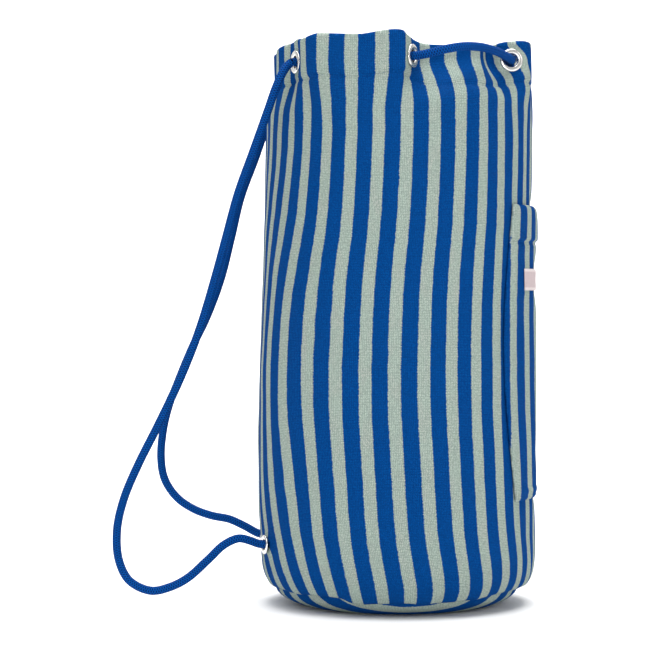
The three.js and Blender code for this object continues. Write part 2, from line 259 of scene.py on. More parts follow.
def grid_normals(points):
    """Outward normals of a grid of points, whose columns go all the way round and whose rows go up."""
    along = np.roll(points, -1, 0) - np.roll(points, 1, 0)
    up = np.gradient(points, axis=1)
    normals = np.cross(along, up)
    return normals / np.linalg.norm(normals, axis=2, keepdims=True)


# ---- Materials ----


UV_UNIT = 100.0  # millimetres of cloth in one unit of the UV map


class Nodes:
    """Short names for making a material's nodes."""

    def __init__(self, name):
        self.material = bpy.data.materials.new(name)
        self.material.use_nodes = True
        self.tree = self.material.node_tree
        self.shader = self.tree.nodes["Principled BSDF"]

    def add(self, kind, **inputs):
        node = self.tree.nodes.new(kind)
        for key, value in inputs.items():
            self.set(node, key, value)
        return node

    def set(self, node, key, value):
        socket = node.inputs[int(key[1:]) if key[0] == "i" and key[1:].isdigit() else key.replace("_", " ")]
        if isinstance(value, bpy.types.NodeSocket):
            self.tree.links.new(value, socket)
        else:
            socket.default_value = value

    def math(self, operation, a, b=0.0, c=0.0):
        node = self.add("ShaderNodeMath", i0=a, i1=b, i2=c)
        node.operation = operation
        return node.outputs[0]

    def noise(self, vector, scale, detail=2.0, roughness=0.5):
        node = self.add("ShaderNodeTexNoise", Vector=vector, Scale=scale, Detail=detail, Roughness=roughness)
        return node.outputs["Fac"]

    def mix(self, fac, a, b):
        node = self.tree.nodes.new("ShaderNodeMix")
        node.data_type = "RGBA"
        self.set(node, "i0", fac)
        self.set(node, "i6", a)
        self.set(node, "i7", b)
        return node.outputs[2]

    def ramp(self, value, low, high):
        """0 at low, 1 at high and straight between."""
        node = self.add("ShaderNodeMapRange", Value=value, From_Min=low, From_Max=high)
        return node.outputs[0]

    def cloth_place(self):
        """Where a point is on its cloth, in millimetres across and up."""
        node = self.add("ShaderNodeUVMap")
        node.uv_map = "cloth"
        parts = self.add("ShaderNodeSeparateXYZ", Vector=node.outputs[0])
        across = self.math("MULTIPLY", parts.outputs[0], UV_UNIT)
        up = self.math("MULTIPLY", parts.outputs[1], UV_UNIT)
        vector = self.add("ShaderNodeCombineXYZ", X=across, Y=up)
        return across, up, vector.outputs[0]

    def scaled(self, vector, x, y, z=1.0):
        node = self.add("ShaderNodeVectorMath", i0=vector, i1=(x, y, z))
        node.operation = "MULTIPLY"
        return node.outputs[0]

    def bump(self, height, strength, distance):
        node = self.add("ShaderNodeBump", Height=height, Strength=strength, Distance=distance)
        self.set(self.shader, "Normal", node.outputs[0])

    def finish(self, colour, roughness, **others):
        self.set(self.shader, "Base Color", colour)
        self.set(self.shader, "Roughness", roughness)
        for key, value in others.items():
            self.set(self.shader, key, value)
        return self.material


# BLUE_DARK and GREY_DARK are painted shade in the gaps between the terry's loops. They also colour its random
# flecks.
BLUE = (0.0008, 0.072, 0.295, 1)
BLUE_DARK = (0.0004, 0.034, 0.155, 1)
GREY = (0.455, 0.54, 0.47, 1)
GREY_DARK = (0.21, 0.265, 0.235, 1)
GREY_WARM = (0.5, 0.505, 0.465, 1)

STRIPE_EDGE = 0.012  # share of a repeat over which one colour turns into the other
RAGGED = 2.2  # millimetres that loops of one colour stray into the next stripe
WAVY = 1.0  # millimetres that a stripe's edge wanders
WALE = 1.3  # millimetres between the cloth's upright rows of loops
COURSE = 1.9  # millimetres between its level rows


def grey_stripes(n, across, place):
    """1 on the grey stripes and 0 on the blue ones, with an edge made of loops."""
    ragged = n.math("SUBTRACT", n.noise(n.scaled(place, 0.2, 1.15), 1.0, 2.0), 0.5)
    wavy = n.math("SUBTRACT", n.noise(n.scaled(place, 0.02, 0.09), 1.0, 1.0), 0.5)
    moved = n.math("ADD", across, n.math("MULTIPLY", ragged, RAGGED))
    moved = n.math("ADD", moved, n.math("MULTIPLY", wavy, WAVY))
    share = n.math("FRACT", n.math("DIVIDE", moved, STRIPE))
    rise = n.ramp(share, BLUE_SHARE - STRIPE_EDGE, BLUE_SHARE + STRIPE_EDGE)
    fall = n.ramp(share, 1 - 2 * STRIPE_EDGE, 1.0)
    return n.math("SUBTRACT", rise, fall)


def terry_material():
    n = Nodes("striped_terry")
    across, up, place = n.cloth_place()
    grey_mask = grey_stripes(n, across, place)

    # Loops in rows and columns, the fibres on them, flecks, and larger patches of a warmer grey.
    loops = n.add("ShaderNodeTexVoronoi", Vector=n.scaled(place, 0.82, 0.9), Scale=1.0, Randomness=0.3)
    loop_height = n.math("SUBTRACT", 1.0, loops.outputs["Distance"])
    grain = n.noise(place, 1.6, 3.0, 0.65)
    wale = n.math("SINE", n.math("MULTIPLY", across, 2 * math.pi / WALE))
    course = n.math("SINE", n.math("MULTIPLY", up, 2 * math.pi / COURSE))
    patchy = n.noise(n.scaled(place, 0.11, 0.055), 1.0, 3.0, 0.6)
    fleck = n.noise(place, 0.55, 3.0, 0.7)

    # Painted shade: the gaps between the loops and the knit's grid of wales and courses are darkened. The
    # grain and flecks add tone that differs at random.
    shade = n.math("MULTIPLY_ADD", grain, 0.3, n.math("MULTIPLY", loop_height, 0.8))
    shade = n.math("ADD", shade, n.math("MULTIPLY", n.math("MULTIPLY", wale, course), 0.06))
    shade = n.math("MULTIPLY_ADD", fleck, 0.3, shade)
    dark = n.ramp(shade, 1.08, 0.66)
    blue = n.mix(dark, BLUE, BLUE_DARK)
    warm = n.mix(n.ramp(patchy, 0.42, 0.7), GREY, GREY_WARM)
    grey = n.mix(dark, warm, GREY_DARK)
    colour = n.mix(grey_mask, blue, grey)

    height = n.math("MULTIPLY_ADD", loop_height, 0.7, n.math("MULTIPLY", grain, 0.6))
    height = n.math("ADD", height, n.math("MULTIPLY", wale, 0.08))
    n.bump(height, 0.7, 0.0007)
    return n.finish(colour, 0.95, Specular_IOR_Level=0.04)


BRAID_STRANDS = 5
BRAID_PITCH = 1.8  # millimetres of cord from one rib to the next


def cord_material():
    n = Nodes("braided_cord")
    around, along, place = n.cloth_place()
    turns = n.math("MULTIPLY", around, 2 * math.pi * BRAID_STRANDS / UV_UNIT)
    climb = n.math("MULTIPLY", along, 2 * math.pi / BRAID_PITCH)
    left = n.math("SINE", n.math("ADD", turns, climb))
    right = n.math("SINE", n.math("SUBTRACT", turns, climb))
    ridge = n.math("MAXIMUM", left, right)
    fibre = n.noise(n.scaled(place, 1.5, 2.0), 1.0, 3.0, 0.6)
    # Painted shade: the grooves between the braid's ribs are darker than the ribs. The fibres add tone that
    # differs at random.
    dark = n.ramp(n.math("ADD", ridge, n.math("MULTIPLY", fibre, 0.5)), 1.1, 0.3)
    colour = n.mix(dark, (0.0008, 0.066, 0.3, 1), (0.0003, 0.013, 0.075, 1))
    height = n.math("MULTIPLY_ADD", fibre, 0.35, n.math("MULTIPLY", ridge, 0.5))
    n.bump(height, 0.8, 0.0005)
    return n.finish(colour, 0.75, Specular_IOR_Level=0.05)


def metal_material():
    n = Nodes("polished_nickel")
    place = n.add("ShaderNodeTexCoord").outputs["Object"]
    smear = n.noise(place, 420.0, 4.0, 0.6)
    scratches = n.noise(n.scaled(place, 300.0, 300.0, 3200.0), 1.0, 2.0)
    n.bump(n.math("ADD", smear, n.math("MULTIPLY", scratches, 0.4)), 0.12, 0.0002)
    rough = n.math("MULTIPLY_ADD", n.ramp(smear, 0.2, 0.9), 0.16, 0.12)
    colour = n.mix(n.ramp(smear, 0.5, 0.8), (0.7, 0.69, 0.67, 1), (0.5, 0.485, 0.46, 1))
    return n.finish(colour, rough, Metallic=1.0)


def label_material():
    n = Nodes("woven_label")
    across, up, place = n.cloth_place()
    rib = n.math("SINE", n.math("MULTIPLY", up, 2 * math.pi / 0.55))
    warp = n.math("SINE", n.math("MULTIPLY", across, 2 * math.pi / 0.7))
    weave = n.math("MULTIPLY", rib, warp)
    fibre = n.noise(n.scaled(place, 1.2, 3.0), 1.0, 3.0, 0.6)
    middle = (LABEL["high"] - LABEL["low"]) / 2
    edge = n.ramp(n.math("ABSOLUTE", n.math("SUBTRACT", up, middle)), middle - 2.2, middle - 1.6)
    tone = n.ramp(n.math("MULTIPLY_ADD", weave, 0.25, fibre), 0.25, 0.8)
    body = n.mix(tone, (0.42, 0.335, 0.35, 1), (0.56, 0.465, 0.475, 1))
    colour = n.mix(n.math("MULTIPLY", edge, 0.7), body, (0.68, 0.61, 0.6, 1))
    n.bump(n.math("MULTIPLY_ADD", weave, 0.4, fibre), 0.5, 0.00025)
    return n.finish(colour, 0.7, Specular_IOR_Level=0.2)


def thread_material():
    n = Nodes("sewing_thread")
    place = n.add("ShaderNodeTexCoord").outputs["Object"]
    twist = n.noise(place, 2600.0, 3.0, 0.6)
    colour = n.mix(n.ramp(twist, 0.3, 0.7), (0.002, 0.035, 0.16, 1), (0.006, 0.075, 0.28, 1))
    n.bump(twist, 0.4, 0.0001)
    return n.finish(colour, 0.8, Specular_IOR_Level=0.15)


def floor_material():
    n = Nodes("pale_floor")
    place = n.add("ShaderNodeTexCoord").outputs["Object"]
    soft = n.noise(place, 3.0, 3.0)
    colour = n.mix(soft, (0.86, 0.86, 0.86, 1), (0.9, 0.9, 0.9, 1))
    return n.finish(colour, 0.85, Specular_IOR_Level=0.1)


TERRY = terry_material()
CORD = cord_material()
METAL = metal_material()
PINK = label_material()
THREAD = thread_material()

# ---- The wall's shape ----


def body_at(z):
    return table(BODY, z), table(BODY, z, 2)


def body_point(angle, z, inset=0.0):
    """Points of the round body, for arrays of angles and heights."""
    half, middle = body_at(z)
    turn = np.radians(angle)
    x = middle + (half - inset) * np.sin(turn)
    x = soft_min(x, table(WALL_FRONT, z, blur=5.0) - inset, 1.2)
    y = -(half * DEPTH_RATIO - inset) * np.cos(turn)
    return np.stack([x, y, z * np.ones_like(x)], axis=-1)


def neck_plan():
    """The neck's plan on the -Y side: its points, and the cloth angle of each."""
    points, eyelet_points = [], []
    for gap, eyelet in zip(NECK_GAPS, [*NECK_SIDE, None]):
        points += gap
        if eyelet:
            face = np.array(eyelet["face"])
            along = heading(eyelet["facing"] + 90)
            eyelet_points.append(face[:2])
            points += [tuple((face + along * shift)[:2]) for shift in (-PATCH, 0, PATCH)]
    curve = resample(spline(points, 0.5), 0.25)
    along = lengths_along(curve)
    marks = [float(along[np.argmin(np.linalg.norm(curve - p, axis=1))]) for p in eyelet_points]
    cloth = [-90, *[e["cloth"] for e in NECK_SIDE], 90]
    return curve, np.interp(along, [0, *marks, along[-1]], cloth)


PLAN, PLAN_CLOTH = neck_plan()


def neck_point(angle):
    """The neck's plan at an array of cloth angles."""
    folded, side = mirror_angle(angle)
    x = np.interp(folded, PLAN_CLOTH, PLAN[:, 0])
    y = np.interp(folded, PLAN_CLOTH, PLAN[:, 1])
    return np.stack([x, y * side], axis=-1)


def anchor(side):
    """Where a base eyelet sits, and the way that it faces. The wearer's left is on the -Y side."""
    angle = BASE_ANCHOR["angle"]
    point = body_point(np.array(-angle if side == "left" else angle - 180), np.array(BASE_ANCHOR["z"]))
    half, _ = body_at(BASE_ANCHOR["z"])
    direction = np.array([point[0] / half**2, point[1] / (half * DEPTH_RATIO) ** 2, 0])
    return point, direction / np.linalg.norm(direction)


def neck_eyelets():
    """All six: the three on the -Y side and then their mirror images."""
    near = [(np.array(e["face"]), heading(e["facing"])) for e in NECK_SIDE]
    flip = np.array([1, -1, 1])
    return near + [(face * flip, direction * flip) for face, direction in reversed(near)]


NECK_EYELETS = neck_eyelets()
ANCHORS = {side: anchor(side) for side in ("left", "right")}


def wall_surface(angles, shares):
    """The wall's outer face before its creases.

    A share is 0 at the base seam, 1 where the neck starts and 2 at the rim.
    """
    angle = angles[:, None] * np.ones((1, len(shares)))
    folded, _ = mirror_angle(angle)
    rim = table(RIM, folded, blur=2.5) - CLOTH
    seam = table(SEAM, folded, blur=2.0)
    z = seam + (NECK_START - seam) * np.minimum(shares, 1)
    z = z + (rim - NECK_START) * np.clip(shares - 1, 0, 1)
    points = body_point(angle, z)
    share = smoothstep(table(NECK_FROM, folded, blur=4.0), table(NECK_TO, folded, blur=4.0), z)
    points[..., :2] += (neck_point(angle) - points[..., :2]) * share[..., None]
    return points, z, rim


def away_from_eyelets(points):
    """0 at each eyelet and 1 well away from it."""
    calm = np.ones(points.shape[:2])
    for face, _ in [*NECK_EYELETS, *ANCHORS.values()]:
        calm *= 1 - np.exp(-(np.linalg.norm(points - face, axis=2) / 12) ** 4)
    return calm


def wall_creases(points, angles, z, rim):
    """How far the cloth stands out of its smooth shape: soft dents, the hem's line and the seams' puckers."""
    round_mm = (angles * DEGREE)[:, None] * np.ones_like(z)
    girth = REPEATS * STRIPE
    below_rim = rim - z
    broad = noise(round_mm, z, 62, 95, 3, girth) * 1.1
    tall = noise(round_mm, z, 26, 130, 5, girth) * 0.75
    fine = noise(round_mm, z, 15, 24, 7, girth) * 0.3
    gathers = noise(round_mm, z, 11, 70, 11, girth) * 1.3 * smoothstep(330, 372, z)
    hem_puckers = noise(round_mm, z, 5.5, 16, 13, girth) * 0.4
    hem_groove = -1.2 * np.exp(-((below_rim - HEM) / 1.4) ** 2) * (1 + hem_puckers)
    hem_pad = 0.5 * smoothstep(HEM + 1, HEM - 4, below_rim)
    above_seam = z - z[:, :1]
    seam_puckers = noise(round_mm, z, 8, 30, 17, girth) * 0.9 * smoothstep(34, 4, above_seam)
    seam_roll = -1.1 * np.exp(-above_seam / 1.2)
    creases = (broad + tall + fine) * smoothstep(12, 45, z) + gathers + hem_groove + hem_pad
    creases += seam_puckers + seam_roll
    creases *= away_from_eyelets(points)
    for face, _ in ANCHORS.values():
        spread = np.linalg.norm(points - face, axis=2)
        creases -= 2.4 * np.exp(-((spread / 26) ** 2)) * smoothstep(0, 12, spread)
    return creases


# Height and how far the stripes lean aside there in the stuffed bag, in degrees.
LEAN = [
    (12, 2), (21, 1.7), (53, -0.9), (84, -2.2), (110, -3.1), (138, -4.1), (165, -4.4), (193, -4.2),
    (220, -3.8), (247, -2.7), (275, -1.2), (302, -0.5), (330, 0),
]
# Height and how much further they lean between the straps at the back.
BACK_LEAN = [(12, -7), (90, -7), (140, -5.5), (270, -5), (320, 0)]


def bump_at(angle, middle, width):
    """1 at an angle round the bag and falling to 0 on both sides of it."""
    away = (angle - middle + 180) % 360 - 180
    return np.exp(-((away / width) ** 2))


def stripe_angle(angle, z):
    """The stripes' own angle at a column and height.

    There is more cloth in a degree at the front and the back. The stripes lean aside, most of all towards
    the back, and the cord pulls them aside next to its eyelets.
    """
    full = angle + FULLNESS * (angle - np.degrees(np.sin(2 * np.radians(angle))) / 2)
    lean = table(LEAN, z) * (1 + 1.7 * bump_at(angle, -62, 24))
    lean = lean + table(BACK_LEAN, z) * bump_at(angle, -78, 21)
    folded, side = mirror_angle(angle)
    front = 11 * smoothstep(390, 404, z) - 6 * smoothstep(390, 376, z) * smoothstep(356, 370, z)
    front = front * np.exp(-(((folded - 62) / 13) ** 2))
    valley = 3.5 * smoothstep(356, 380, z) * smoothstep(5, 12, folded) * smoothstep(48, 26, folded)
    return full - lean + side * (front - valley) / DEGREE


WALL_COLUMNS = 384
# Heights of the wall's rows below the neck: closer together at the base seam and round the base eyelets.
LOW_HEIGHTS = np.array([
    12, 12.8, 13.8, *np.arange(15, 35, 2.8), *np.arange(36, 56, 1.6), *np.arange(58, NECK_START, 5.2),
])
NECK_ROWS = 40
RIM_TURNS = [35, 70, 110, 145]  # degrees round the rim's rounded edge, from its outer face to its inner one


def wall_rows():
    low = (LOW_HEIGHTS - LOW_HEIGHTS[0]) / (NECK_START - LOW_HEIGHTS[0])
    return np.concatenate([low, 1 + np.linspace(0, 1, NECK_ROWS)])


def punched_cells(points):
    """Which of the grid's cells lie under an eyelet, where the cloth has been punched out."""
    pairs = points + np.roll(points, -1, 0)
    centres = (pairs[:, :-1] + pairs[:, 1:]) / 4
    gone = np.zeros(centres.shape[:2], bool)
    for size, places in ((NECK_EYELET, NECK_EYELETS), (BASE_EYELET, ANCHORS.values())):
        for face, direction in places:
            offset = centres - face
            depth = offset @ direction
            radius = np.linalg.norm(offset - depth[..., None] * direction, axis=2)
            gone |= (radius < size["bore"] + 1.3) & (np.abs(depth) < 9)
    return gone


def shell(outer, edge, inner, uv, gone):
    """A closed cloth from its outer and inner face, the rounded edge at its top and the cells punched out.

    Returns the points, the faces and each face's corners on the cloth.
    """
    columns, rows = outer.shape[:2]
    bands = edge.shape[1]
    points = np.concatenate([outer, edge, inner[:, ::-1]], axis=1)
    edge_uv = np.repeat(uv[:, -1:], bands, axis=1)
    uv = np.concatenate([uv, edge_uv, uv[:, ::-1]], axis=1)
    count = points.shape[1]
    cells = np.zeros((columns, count), bool)
    cells[:, : rows - 1] = gone
    cells[:, rows + bands : count - 1] = gone[:, ::-1]

    def number(i, j):
        return (i % columns) * count + j % count

    def inner_number(i, j):
        return number(i, count - 1 - j)

    def wall_of_hole(i, j, i2, j2):
        return (number(i, j), number(i2, j2), inner_number(i2, j2), inner_number(i, j))

    kept = [(i, j) for i in range(columns) for j in range(count) if not cells[i, j]]
    faces = [(number(i, j), number(i + 1, j), number(i + 1, j + 1), number(i, j + 1)) for i, j in kept]
    for i, j in zip(*np.nonzero(gone)):
        if not gone[(i + 1) % columns, j]:
            faces.append(wall_of_hole(i + 1, j + 1, i + 1, j))
        if not gone[i - 1, j]:
            faces.append(wall_of_hole(i, j, i, j + 1))
        if not gone[i, j + 1]:
            faces.append(wall_of_hole(i, j + 1, i + 1, j + 1))
        if not gone[i, j - 1]:
            faces.append(wall_of_hole(i + 1, j, i, j))
    corners = uv.reshape(-1, 2)[np.array(faces)]
    last_column = [k for k, (i, _) in enumerate(kept) if i + 1 == columns]
    corners[last_column, 1:3, 0] += REPEATS * STRIPE / UV_UNIT
    return points.reshape(-1, 3), faces, corners


def smoothed(grid, rounds):
    """A closed grid's vectors, averaged with their neighbours round the bag."""
    for _ in range(rounds):
        grid = (np.roll(grid, 1, 0) + grid * 2 + np.roll(grid, -1, 0)) / 4
    return grid / np.linalg.norm(grid, axis=2, keepdims=True)


def make_wall():
    shares = wall_rows()
    angles = -90 + 360 * np.arange(WALL_COLUMNS) / WALL_COLUMNS
    smooth, z, rim = wall_surface(angles, shares)
    outer = smooth + grid_normals(smooth) * wall_creases(smooth, angles, z, rim)[..., None]
    normals = smoothed(grid_normals(outer), 6)
    thickness = CLOTH * (1 + smoothstep(HEM + 2, HEM, rim - z))
    inner = outer - normals * thickness[..., None]
    edge = []
    for turn in np.radians(RIM_TURNS):
        share = (1 - math.cos(turn)) / 2
        lift = np.array([0, 0, CLOTH * math.sin(turn)])
        edge.append(outer[:, -1] * (1 - share) + inner[:, -1] * share + lift)
    across = (stripe_angle(angles[:, None], z) - FIRST_BLUE) * DEGREE
    uv = np.stack([across, z], axis=-1) / UV_UNIT
    points, faces, corners = shell(outer, np.stack(edge, axis=1), inner, uv, punched_cells(outer))
    return mesh_object("terry_wall", points, faces, TERRY, corners)


# ---- Base ----

# Radius and height of the base's underside, from its middle to where it is tucked in behind the wall.
BASE_PROFILE = [
    (0, 0), (50, 0), (62, 0), (72, 1), (79.5, 3.6), (84.5, 6.6), (87, 9.2), (88.2, 12), (90.5, 19),
]
BASE_COLUMNS = 256
BASE_STRIPE_TURN = 2.0  # degrees between the base's stripes and the X axis
BASE_STRIPE_START = 19.0  # millimetres from a blue stripe's left edge to the middle of the base
BASE_ROUND = 98.0  # the radius at which its puckers are spaced


def base_rings(profile, along, turn):
    """Rings of points for a profile of radius and height, puckered where the base is sewn to the wall."""
    rings = []
    for (r, z), length in zip(profile[1:], along[1:]):
        pucker = noise(turn * BASE_ROUND, length, 9, 12, 23, 2 * math.pi * BASE_ROUND)
        pucker = pucker * 0.7 * smoothstep(70, 92, r)
        radius = r + pucker * 0.6
        height = z + abs(pucker) * 0.3
        rings.append(np.stack([radius * np.sin(turn), -radius * DEPTH_RATIO * np.cos(turn), height], axis=1))
    return rings


def base_cloth(lengths, turn):
    """Where the middle, each ring and the other face's middle are on the cloth."""
    grain = math.radians(BASE_STRIPE_TURN)
    cloth = [(0.0, 0.0)]
    for length in lengths:
        x, y = length * np.sin(turn), -length * np.cos(turn)
        cloth += zip(y * math.cos(grain) - x * math.sin(grain), x * math.cos(grain) + y * math.sin(grain))
    cloth.append((0.0, 0.0))
    return (np.array(cloth) + [BASE_STRIPE_START, 0]) / UV_UNIT


def base_faces(rings):
    """Quads between the rings, and triangles round the middle of each face."""
    faces = [tuple(1 + k for k in face[::-1]) for face in grid_faces(rings, BASE_COLUMNS, False, True)]
    last = 1 + (rings - 1) * BASE_COLUMNS
    for i in range(BASE_COLUMNS):
        i2 = (i + 1) % BASE_COLUMNS
        faces += [(0, 1 + i2, 1 + i), (last + i, last + i2, last + BASE_COLUMNS)]
    return faces


def make_base():
    outline = resample(spline(BASE_PROFILE, 1.0), 2.6)
    along = lengths_along(outline)
    slope = np.gradient(outline, axis=0)
    slope /= np.linalg.norm(slope, axis=1, keepdims=True)
    inside = outline + np.stack([-slope[:, 1], slope[:, 0]], axis=1) * CLOTH
    turn = np.radians(360 * np.arange(BASE_COLUMNS) / BASE_COLUMNS)
    rings = base_rings(outline, along, turn) + base_rings(inside, along, turn)[::-1]
    points = np.concatenate([[[0, 0, 0]], *rings, [[0, 0, CLOTH]]])
    cloth = base_cloth([*along[1:], *along[:0:-1]], turn)
    faces = base_faces(len(rings))
    corners = np.concatenate([cloth[list(face)] for face in faces])
    return mesh_object("terry_base", points, faces, TERRY, corners)


# ---- Pocket and label ----


def pocket_point(angle, z, lift):
    """Points lifted off the wall where the pocket is, for arrays of angles from the front's middle."""
    half, middle = body_at(z)
    turn = np.radians(90 + angle)
    x = middle + (half + GAP + lift) * np.sin(turn)
    x = soft_min(x, table(POCKET_FRONT, z, blur=2.0) - CLOTH + lift, 0.9)
    y = -(half * DEPTH_RATIO + GAP + lift) * np.cos(turn)
    return np.stack([x, y, z * np.ones_like(x)], axis=-1)


def end_faces(start, rows, count):
    """Faces that close one end of a sheet, from the number of the end's first point."""
    faces = [(j, j + 1, count - 3 - j, count - 2 - j) for j in range(rows - 1)]
    faces += [(rows - 1, rows, rows + 1), (count - 2, count - 1, 0)]
    return [tuple(start + k for k in face) for face in faces]


def bent_sheet(name, size, lifts, columns, rows, material, uv_start, lean, edge_round):
    """A closed sheet on the front of the wall.

    lifts(across, z) gives how far its outer and inner face are off the wall. across runs from -1 to 1. lean
    is the share of the wall's lean that its stripes have.
    """
    across = np.linspace(-1, 1, columns)[:, None] * np.ones((1, rows))
    up = np.linspace(0, 1, rows)[None, :] * np.ones((columns, 1))
    angle = across * size["half_angle"] * (1 + size["bow"] * np.sin(np.pi * up))
    z = size["low"] + up * (size["high"] - size["low"])
    outer_lift, inner_lift = lifts(across, z)
    outer, inner = pocket_point(angle, z, outer_lift), pocket_point(angle, z, inner_lift)
    middle = (outer + inner) / 2
    rounding = np.array([0, 0, edge_round])
    loop = [outer, middle[:, -1:] + rounding, inner[:, ::-1], middle[:, :1] - rounding]
    points = np.concatenate(loop, axis=1)
    width = (angle + size["half_angle"] - lean * table(LEAN, z)) * DEGREE
    cloth = np.stack([width + uv_start, z - size["low"]], axis=-1)
    cloth = np.concatenate([cloth, cloth[:, -1:], cloth[:, ::-1], cloth[:, :1]], axis=1).reshape(-1, 2)
    count = points.shape[1]
    faces = grid_faces(columns, count, False, True)
    faces += end_faces(0, rows, count)
    faces += [face[::-1] for face in end_faces((columns - 1) * count, rows, count)]
    corners = [cloth[k] for face in faces for k in face]
    return mesh_object(name, points.reshape(-1, 3), faces, material, np.array(corners) / UV_UNIT)


POCKET_WIDTH = 2 * POCKET["half_angle"] * DEGREE
POCKET_HEM = 26.0
POCKET_TURN = 9.0  # width of the cloth turned in at the pocket's sides
STITCH_INSET = 3.2


def pocket_lifts(across, z):
    from_side = (1 - np.abs(across)) * POCKET_WIDTH / 2
    from_top = POCKET["high"] - z
    from_low = z - POCKET["low"]
    from_edge = np.minimum(from_side, from_low)
    folded = 0.7 * smoothstep(POCKET_TURN, POCKET_TURN - 2.5, from_edge)
    folded = np.maximum(folded, 1.2 * smoothstep(POCKET_HEM, POCKET_HEM - 2.5, from_top))
    rounded = 1.7 * np.exp(-np.minimum(from_edge, from_top) / 1.4)
    stitched = 0.5 * np.exp(-((from_edge - STITCH_INSET) / 1.2) ** 2)
    stitched += 0.9 * np.exp(-((from_top - POCKET_HEM) / 1.5) ** 2)
    mm = across * POCKET_WIDTH / 2
    soft = noise(mm + 200, z, 26, 60, 31) * 0.5 + noise(mm + 200, z, 9, 16, 33) * 0.22
    beyond_label = np.maximum(LABEL["low"] - z, z - LABEL["high"])
    soft = soft * smoothstep(1, 12, np.minimum(from_edge, from_top)) * smoothstep(1, 9, beyond_label)
    return CLOTH + folded - rounded - stitched + soft, 0.05 * rounded


def make_pocket():
    first_grey = BLUE_SHARE * STRIPE + 1.6  # its side is cut just inside a grey stripe
    return bent_sheet("terry_pocket", POCKET, pocket_lifts, 104, 140, TERRY, first_grey, 0.9, 0.4)


def label_lifts(across, z):
    width = LABEL["half_angle"] * DEGREE
    from_edge = np.minimum((1 - np.abs(across)) * width, np.minimum(z - LABEL["low"], LABEL["high"] - z))
    base = CLOTH + 0.75  # it lies on the pocket
    soft = noise(across * width + 300, z, 12, 9, 41) * 0.12
    outer = base + LABEL["thick"] - 0.3 * np.exp(-from_edge / 0.5) + soft
    return outer, base * np.ones_like(outer) - 0.25


def make_label():
    return bent_sheet("woven_label_blank", LABEL, label_lifts, 64, 22, PINK, 0.0, 0.0, 0.15)


# ---- Stitching ----

# A stitch's rings: the share of its length from its middle, and the share of its full thickness.
STITCH_RINGS = [(-0.5, 0.3), (-0.38, 0.85), (0.0, 1.0), (0.38, 0.85), (0.5, 0.3)]
STITCH_SIDES = 6
STITCH_THICK = 0.22  # the thread's radius
STITCH_SINK = 0.16  # how deep its middle lies under the loops


def point_along(along, values, distance):
    """A row of values at a distance along their line."""
    return np.array([np.interp(distance, along, values[:, axis]) for axis in range(3)])


def stitch_points(centre, way, out, length, radius):
    """One stitch's points. Its ends dip into the cloth."""
    side = np.cross(way, out)
    points = []
    for share, width in STITCH_RINGS:
        for s in range(STITCH_SIDES):
            turn = 2 * math.pi * s / STITCH_SIDES
            lift = math.cos(turn) * width * radius - 0.35 * radius * (2 * share) ** 2
            shift = math.sin(turn) * width * radius
            points.append(centre + way * share * length + out * lift + side * shift)
    return points


def stitch_faces(start):
    """One closed stitch's faces, from the number of its first point."""
    rings = len(STITCH_RINGS)
    faces = [face[::-1] for face in grid_faces(rings, STITCH_SIDES, False, True)]
    faces += [range(STITCH_SIDES)[::-1], range((rings - 1) * STITCH_SIDES, rings * STITCH_SIDES)]
    return [tuple(start + k for k in face) for face in faces]


def stitch_mesh(name, runs, length, pitch, radius):
    """Short threads along lines on the cloth. A run is its points and the outward direction at each point."""
    points, faces = [], []
    for line, outward in runs:
        along = lengths_along(line)
        for k in range(int(along[-1] / pitch)):
            middle = (k + 0.5) * pitch
            out = point_along(along, outward, middle)
            out = out / np.linalg.norm(out)
            way = point_along(along, line, middle + 0.5) - point_along(along, line, middle - 0.5)
            way /= np.linalg.norm(way)
            faces += stitch_faces(len(points))
            points += stitch_points(point_along(along, line, middle), way, out, length, radius)
    return mesh_object(name, np.array(points), faces, THREAD)


def hem_run():
    """The line of stitches at the bottom of the neck's hem."""
    angles = np.arange(-90, 270, 0.5)
    points, z, rim = wall_surface(angles, wall_rows())
    normals = grid_normals(points)
    points = points + normals * wall_creases(points, angles, z, rim)[..., None]
    line, outward = [], []
    for i in range(len(angles)):
        height = rim[i, 0] - HEM
        line.append([np.interp(height, z[i], points[i, :, c]) for c in range(3)])
        outward.append([np.interp(height, z[i], normals[i, :, c]) for c in range(3)])
    line, outward = np.array(line + line[:1]), np.array(outward + outward[:1])
    return line - outward * STITCH_SINK, outward


def pocket_run(angles, heights):
    """Stitches on the pocket between corners given as angles and heights."""
    corner_line = resample(np.stack([np.array(angles) * DEGREE, heights], axis=1), 1.0)
    z = corner_line[:, 1]
    up = (z - POCKET["low"]) / (POCKET["high"] - POCKET["low"])
    angle = corner_line[:, 0] / DEGREE * (1 + POCKET["bow"] * np.sin(np.pi * up))
    outer_lift, _ = pocket_lifts(corner_line[:, 0] / DEGREE / POCKET["half_angle"], z)
    points = pocket_point(angle, z, outer_lift)
    outward = pocket_point(angle, z, outer_lift + 1) - points
    return points - outward * STITCH_SINK, outward


def make_stitching():
    hem = stitch_mesh("hem_stitching", [hem_run()], 2.2, 3.4, STITCH_THICK)
    side = POCKET["half_angle"] - STITCH_INSET / DEGREE
    low, high = POCKET["low"] + STITCH_INSET, POCKET["high"] - 1.5
    hem_z = POCKET["high"] - POCKET_HEM
    runs = [
        pocket_run([-side, -side, side, side], [high, low, low, high]),
        pocket_run([-side, side], [hem_z, hem_z]),
    ]
    pocket = stitch_mesh("pocket_stitching", runs, 2.1, 3.2, STITCH_THICK)
    return hem, pocket


# ---- Eyelets ----


